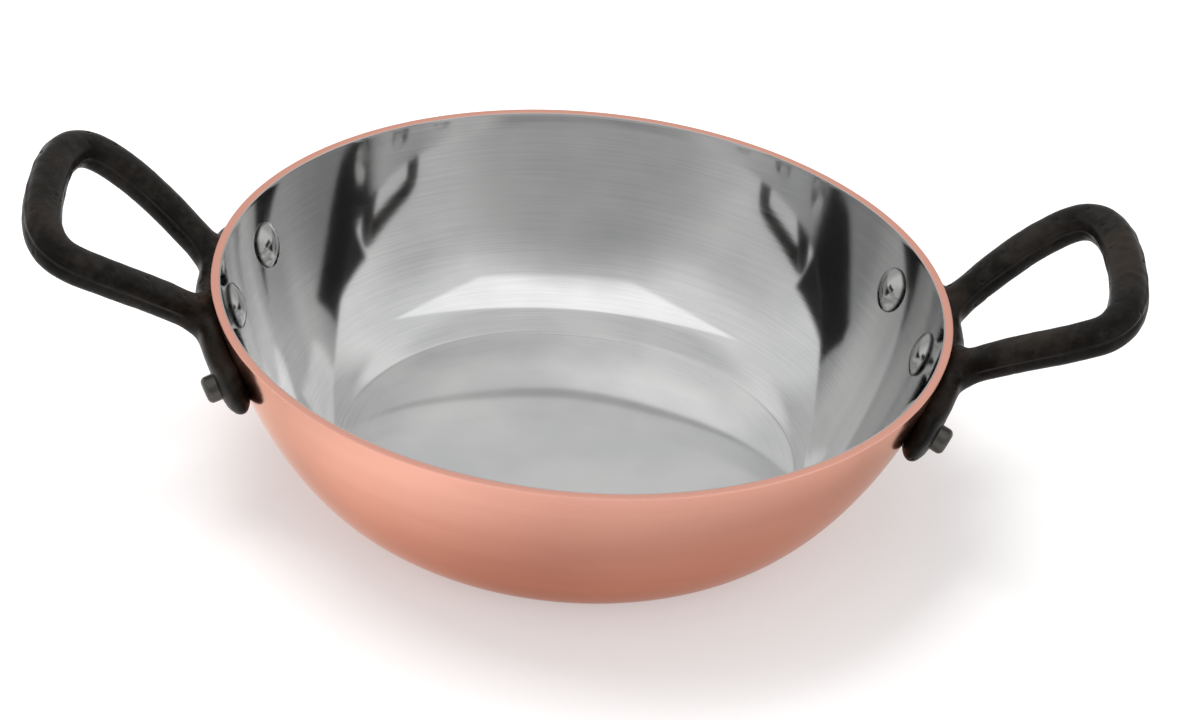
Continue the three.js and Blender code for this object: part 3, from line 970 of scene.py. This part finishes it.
def cast_iron():
    """Dark cast iron: near black, brown in patches, rubbed lighter in places, with a sandy skin."""
    material, finish = new_material("cast iron")
    place, _ = finish.place()
    patches = finish.noise(place, scale=70.0, detail=3.0, roughness=0.55)
    sand = finish.noise(place, scale=1000.0, detail=2.0, roughness=0.6)
    grain = finish.noise(place, scale=420.0, detail=3.0, roughness=0.6)
    browning = finish.noise(place, scale=45.0, detail=4.0, roughness=0.6)
    rusting = finish.noise(place, scale=95.0, detail=4.0, roughness=0.62)
    worn = finish.step(finish.toward(grain, patches, IRON_PATCH_SHARE), *IRON_WORN_TONES)
    brown = finish.step(browning, *IRON_BROWN_TONES) * IRON_BROWN_SHARE
    rust = finish.step(rusting, *IRON_RUST_TONES) * IRON_RUST_SHARE
    colour = finish.blend(brown, finish.blend(worn, *IRON_BLACK), IRON_BROWN)
    rough = finish.varied(IRON_ROUGHNESS, (patches, IRON_PATCH_SPAN), (sand, IRON_SAND_SPAN))
    finish.surface({
        "Base Color": finish.blend(rust, colour, IRON_RUST),
        "Metallic": 0.0,
        "Specular IOR Level": IRON_GLOSS,
        "Roughness": rough,
        "Normal": finish.bump(sand * IRON_SAND_HEIGHT + grain * IRON_GRAIN_HEIGHT),
    })
    return material


def build_dish():
    """The two turned layers of the dish's sheet."""
    copper = satin_copper()
    lining = polished_lining()
    shell = sheet_section(0.0, COPPER_THICKNESS, RIM_EDGE_ROUND, LINING_EDGE_ROUND)
    skin = sheet_section(COPPER_THICKNESS, SHEET_THICKNESS, LINING_EDGE_ROUND, LINING_EDGE_ROUND)
    add_piece("spun_copper_shell", *turned(shell, DISH_TURNS), copper, "copper", "copper_shell")
    add_piece("polished_steel_lining", *turned(skin, DISH_TURNS), lining, "lining", "steel_lining")


def build_handles():
    """Both handles from one fused casting, each with its three rivets."""
    iron = cast_iron()
    steel = rivet_steel()
    points, quads, edges = fused([loop_surface(), plate_surface()], CASTING_VOXEL)
    skin = filleted(points, quads, edges), quads
    places = {"front": -RIVET_STEP, "middle": 0.0, "back": RIVET_STEP}
    for side, seed, turn in HANDLE_SIDES:
        add_handle(side, skin, seed, turn, iron)
        for place, azimuth in places.items():
            around = azimuth if turn > 0 else math.pi - azimuth
            add_rivet(f"rivet_{side}_{place}", around, steel)


def add_camera():
    """Camera on a sphere round the rim's middle, turned by the small angles of the fit."""
    toward = Vector((0, -math.cos(CAMERA_ELEVATION), math.sin(CAMERA_ELEVATION)))
    right = (-toward).cross(Vector((0, 0, 1))).normalized()
    up = right.cross(-toward)
    axes = Matrix((right, up, toward))
    for angle, axis in ((CAMERA_YAW, "Y"), (CAMERA_PITCH, "X"), (CAMERA_ROLL, "Z")):
        axes = Matrix.Rotation(angle, 3, axis) @ axes
    around = Matrix.Rotation(CAMERA_AZIMUTH, 3, "Z")
    data = bpy.data.cameras.new("camera")
    data.sensor_fit = "HORIZONTAL"
    data.sensor_width = CAMERA_SENSOR
    data.lens = CAMERA_LENS
    camera = bpy.data.objects.new("camera", data)
    place = around @ (toward * CAMERA_DISTANCE) + Vector((0, 0, DISH_HEIGHT))
    camera.matrix_world = Matrix.Translation(place) @ (around @ axes.transposed()).to_4x4()
    bpy.context.scene.collection.objects.link(camera)
    bpy.context.scene.camera = camera


def add_lamp():
    """A softbox over the dish, which glossy rays don't see."""
    data = bpy.data.lights.new("overhead softbox", "AREA")
    data.shape = "RECTANGLE"
    data.size = LAMP_WIDTH
    data.size_y = LAMP_LENGTH
    data.energy = LAMP_WATTS
    lamp = bpy.data.objects.new("overhead softbox", data)
    facing = (-Vector(LAMP_PLACE)).to_track_quat("-Z", "Y")
    lamp.matrix_world = Matrix.Translation(LAMP_PLACE) @ facing.to_matrix().to_4x4()
    lamp.visible_glossy = False
    bpy.context.scene.collection.objects.link(lamp)


def stage_plane(name, corners, material):
    """A flat four-cornered piece of the studio, which isn't part of the object."""
    mesh = bpy.data.meshes.new(name)
    mesh.from_pydata(corners, [], [(0, 1, 2, 3)])
    mesh.materials.append(material)
    plane = bpy.data.objects.new(name, mesh)
    bpy.context.scene.collection.objects.link(plane)
    return plane


def seen_directly(finish):
    """1 for rays from the camera, off a gloss or through glass, and 0 for the rest."""
    seen = finish.ray("Is Camera Ray") + finish.ray("Is Glossy Ray")
    return finish.math("ADD", seen, finish.ray("Is Transmission Ray"), clamp=True)


def add_floor():
    """A wide white floor that keeps the dish's shadow."""
    material, finish = new_material("white floor")
    _, (x, _, _) = finish.place()
    left = x * -1.0
    rise = finish.step(left, *GLOW_RISE_SPAN) * GLOW_RISE
    fall = finish.step(left, *GLOW_FALL_SPAN) * GLOW_FALL
    glow = seen_directly(finish) * FLOOR_GLOW - finish.ray("Is Glossy Ray") * (GLOW_CUT - rise + fall)
    grey = rgb(FLOOR_GREY, FLOOR_GREY, FLOOR_GREY)
    diffuse = finish.node("ShaderNodeBsdfDiffuse", {}, {"Color": grey})
    glowing = finish.node("ShaderNodeEmission", {}, {"Color": WHITE, "Strength": glow})
    both = finish.node("ShaderNodeAddShader", {}, {0: diffuse, 1: glowing})
    finish.node("ShaderNodeOutputMaterial", {}, {"Surface": both})
    signs = ((-1, -1), (1, -1), (1, 1), (-1, 1))
    corners = [(FLOOR_HALF * along, FLOOR_HALF * across, FLOOR_LEVEL) for along, across in signs]
    stage_plane("floor", corners, material)


def add_black_card():
    """A card square to the view that widens upwards, which only twice-mirrored rays meet."""
    material, finish = new_material("black card")
    _, (x, _, z) = finish.place()
    middle = Vector((0, 0, DISH_HEIGHT))
    middle += CARD_DISTANCE * Vector((0, -math.cos(CARD_TILT), math.sin(CARD_TILT)))
    rise = Vector((0, math.sin(CARD_TILT), math.cos(CARD_TILT)))
    height = (z - middle.z) * (1 / math.cos(CARD_TILT))
    inside = finish.soft_edge(x - height * CARD_LEFT_LEAN, CARD_LEFT, CARD_SOFTNESS)
    beyond = finish.soft_edge(x - height * CARD_RIGHT_LEAN, CARD_RIGHT, CARD_SOFTNESS)
    above = finish.soft_edge(height, CARD_FOOT, CARD_SOFTNESS / 2)
    over = finish.soft_edge(height, CARD_TOP, CARD_SOFTNESS / 2)
    twice = finish.math("COMPARE", finish.ray("Ray Depth"), CARD_TIMES_MIRRORED, 0.5)
    mask = inside * (1 - beyond) * above * (1 - over) * twice
    black = finish.node("ShaderNodeEmission", {}, {"Color": WHITE, "Strength": BLACK})
    clear = finish.node("ShaderNodeBsdfTransparent", {}, {})
    mixed = finish.node("ShaderNodeMixShader", {}, {0: mask, 1: clear, 2: black})
    finish.node("ShaderNodeOutputMaterial", {}, {"Surface": mixed})
    side = Vector((CARD_MARGIN, 0, 0))
    foot = middle + rise * (CARD_FOOT - CARD_SOFTNESS)
    top = middle + rise * (CARD_TOP + CARD_SOFTNESS)
    card = stage_plane("black_card", [foot - side, foot + side, top + side, top - side], material)
    card.visible_camera = False
    card.visible_diffuse = False
    card.visible_shadow = False
    card.visible_transmission = False


def softbox(finish, slant, ahead):
    """Share of the softbox: a bowed strip of the ceiling whose ends lean out."""
    plan = ahead - slant * slant * SOFTBOX_BOW
    spread = plan - SOFTBOX_NEAR[1]
    past_left = finish.step(slant + spread, *SOFTBOX_LEFT)
    past_right = finish.step(slant - spread * SOFTBOX_RIGHT_LEAN, *SOFTBOX_RIGHT)
    return past_left * (1 - past_right) * finish.between(plan, SOFTBOX_NEAR, SOFTBOX_FAR)


def ceiling_again(finish, slant, ahead):
    """The ceiling for rays mirrored again, and the share of the dark gap that bends across it."""
    sag = slant * slant
    trough = ahead - sag * GAP_SAG - sag * sag * GAP_END_SAG
    far_light = finish.toward(FAR_LEFT_LIGHT, FAR_RIGHT_LIGHT, finish.step(slant, *FAR_FADE))
    ceiling = finish.toward(NEAR_LIGHT, far_light, finish.step(trough, *FAR_EDGE))
    past_ends = finish.step(finish.math("ABSOLUTE", slant), *GAP_ENDS)
    return ceiling, finish.between(trough, GAP_NEAR, GAP_FAR) * (1 - past_ends)


def grey_cloud(finish, y, z):
    """Share of the cloud: a smooth step of the cosine between a direction and the cloud's middle."""
    cosine = (z * CLOUD_RISE - y * CLOUD_FRONT) / finish.math("SQRT", 1 + z * z * CLOUD_SQUEEZE)
    return finish.step(cosine, math.cos(CLOUD_OUTER), math.cos(CLOUD_INNER))


def mirrored_studio(finish):
    """What polished metal mirrors, by direction: each patch is laid over the ones before it."""
    x, y, z = finish.split(finish.node("ShaderNodeTexCoord", {}, {}, "Generated"))
    times_mirrored = finish.ray("Ray Depth") - 1
    at_most_twice = finish.math("LESS_THAN", times_mirrored, 2.5)
    twice_or_thrice = finish.math("COMPARE", times_mirrored, 2.5, 1.0)
    thrice = finish.math("COMPARE", times_mirrored, 3.0, 0.5)
    thrice_or_more = finish.math("GREATER_THAN", times_mirrored, 2.5)
    side = y / finish.math("SQRT", 1 + LEVEL_ROOM - z * z)
    above = finish.math("MAXIMUM", z, LOWEST_RISE)
    slant = x / above
    ahead = y / above
    backdrop = finish.step(side, *BACKDROP_SIDE) * (1 - finish.step(z, *BACKDROP_TOP))
    light = finish.toward(1.0, BACKDROP_LIGHT, backdrop)
    front = (1 - finish.step(side, *FRONT_SIDE)) * (1 - finish.step(z, *FRONT_TOP))
    light = finish.toward(light, FRONT_LIGHT, front)
    light = finish.toward(light, CEILING_LIGHT, finish.step(z, *CEILING_EDGE))
    light = finish.toward(light, SOFTBOX_LIGHT, softbox(finish, slant, ahead))
    ceiling, gap = ceiling_again(finish, slant, ahead)
    light = finish.toward(light, ceiling, twice_or_thrice * finish.step(z, *AGAIN_EDGE))
    light = finish.toward(light, GAP_LIGHT, twice_or_thrice * gap)
    light = finish.toward(light, CLOUD_LIGHT, grey_cloud(finish, y, z))
    light = light * (1 + thrice_or_more * finish.step(x, *DEEP_RIGHT) * DEEP_RIGHT_GAIN)
    light = light * (1 + finish.step(times_mirrored, *DEEP_TIMES) * DEEP_GAIN)
    flags = finish.between(side, FLAG_NEAR, FLAG_FAR) * finish.between(z, FLAG_FOOT, FLAG_TOP)
    light = finish.toward(light, BLACK, flags * at_most_twice)
    lens = (1 - finish.step(side, *LENS_SIDE)) * finish.between(z, LENS_FOOT, LENS_TOP)
    return finish.toward(light, BLACK, lens * thrice)


def add_world():
    """White to the camera, a plain soft grey as light, and the studio in polished metal."""
    world = bpy.data.worlds.new("studio")
    world.use_nodes = True
    bpy.context.scene.world = world
    finish = Finish(world.node_tree)
    plain = finish.toward(SOFT_LIGHT, 1.0, finish.ray("Is Camera Ray"))
    strength = finish.toward(plain, mirrored_studio(finish), finish.ray("Is Glossy Ray"))
    background = finish.node("ShaderNodeBackground", {}, {"Color": WHITE, "Strength": strength})
    finish.node("ShaderNodeOutputWorld", {}, {"Surface": background})


def add_studio():
    """The floor, the card, the world and the lamp, with colours shown as they are."""
    add_floor()
    add_black_card()
    add_world()
    add_lamp()
    bpy.context.scene.view_settings.view_transform = "Standard"


add_camera()
build_dish()
build_handles()
add_studio()
